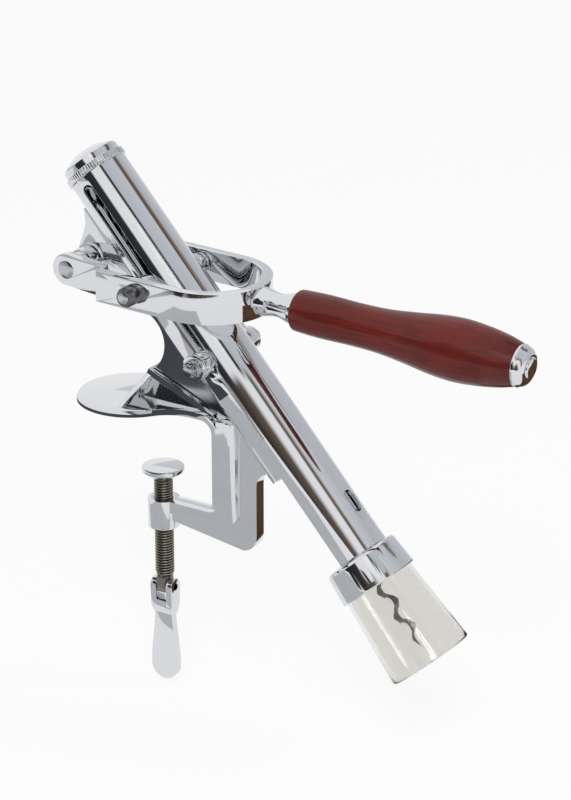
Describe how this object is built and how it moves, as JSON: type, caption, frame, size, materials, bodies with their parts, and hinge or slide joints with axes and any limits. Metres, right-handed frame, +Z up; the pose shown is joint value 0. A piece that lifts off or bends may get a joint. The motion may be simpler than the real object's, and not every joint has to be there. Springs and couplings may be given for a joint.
{
  "type": "counter mount corkscrew",
  "caption": "Lever corkscrew that clamps to a counter edge: leaning barrel with a worm in a clear bottle bell, fork lever with a wooden grip, clamp screw with a paddle.",
  "frame": {"origin": "where the clamp screw's axis meets the foot's underside, which rests on the counter top", "axes": "+Z up, +Y into the counter and -Y towards the user, X = 0 is the middle plane"},
  "size_m": [0.093, 0.3079, 0.34],
  "materials": {
    "chrome": "polished chrome plate on a zinc or steel casting",
    "steel": "bright turned steel",
    "nickel": "dull nickel plate on turned steel",
    "zinc_steel": "zinc plated steel, rolled thread",
    "lacquered_wood": "turned hardwood, dark red gloss lacquer",
    "clear_acrylic": "clear moulded acrylic, polished",
    "black_rubber": "moulded rubber ring"
  },
  "bodies": {
    "frame": {"clamp_frame": "chrome", "barrel": "chrome", "barrel_cap": "chrome", "bell_collar": "chrome", "bottle_bell": "clear_acrylic", "bell_gasket": "black_rubber", "drive_nut": "steel", "seat_screws": "steel", "side_plates": "chrome"},
    "lever": {"lever_fork": "chrome", "pivot_pin": "steel", "handle_tie_rod": "steel", "handle_grip": "lacquered_wood", "handle_end_cap": "chrome", "fork_pin_left": "steel", "fork_pin_right": "steel", "fork_nut_left": "nickel", "fork_nut_right": "nickel"},
    "carrier": {"carrier": "chrome", "thrust_nut": "steel", "cross_pin": "steel", "link_washers": "chrome", "retaining_clips": "steel"},
    "links": {"link_left": "chrome", "link_right": "chrome"},
    "worm": {"quill": "steel", "worm": "steel"},
    "pad": {"clamp_pad": "chrome"},
    "screw": {"clamp_screw": "zinc_steel", "paddle_pin": "steel"},
    "paddle": {"paddle": "chrome"}
  },
  "joints": [
    {"name": "lever_swing", "type": "hinge", "parent": "frame", "child": "lever", "pos_m": [0, 0.04601, 0.08502], "axis": [-1, 0, 0], "range_deg": [-8, 97]},
    {"name": "carrier_slide", "type": "slide", "parent": "frame", "child": "carrier", "axis": [0, 0.6626, 0.749], "range_m": [-0.0068, 0.0795]},
    {"name": "link_swing", "type": "hinge", "parent": "carrier", "child": "links", "pos_m": [0, -0.04354, 0.04115], "axis": [-1, 0, 0], "range_deg": [-1, 6]},
    {"name": "worm_spin", "type": "hinge", "parent": "carrier", "child": "worm", "pos_m": [0, -0.04354, 0.04115], "axis": [0, 0.6626, 0.749], "range_deg": [-145, 1680]},
    {"name": "clamp_feed", "type": "slide", "parent": "frame", "child": "pad", "axis": [0, 0, 1], "range_m": [-0.0135, 0.03]},
    {"name": "clamp_turn", "type": "hinge", "parent": "pad", "child": "screw", "pos_m": [0, 0, -0.06], "axis": [0, 0, 1], "range_deg": [-2845, 6300]},
    {"name": "paddle_fold", "type": "hinge", "parent": "screw", "child": "paddle", "pos_m": [0, 0, -0.1195], "axis": [0, 1, 0], "range_deg": [-90, 90]}
  ],
  "couplings": [
    {"joint": "carrier_slide", "follows": "lever_swing", "m_per_rad": 0.046447},
    {"joint": "link_swing", "follows": "lever_swing", "ratio": 0.0457},
    {"joint": "worm_spin", "follows": "lever_swing", "ratio": 17.167},
    {"joint": "clamp_turn", "follows": "clamp_feed", "rad_per_m": 3590.4}
  ]
}
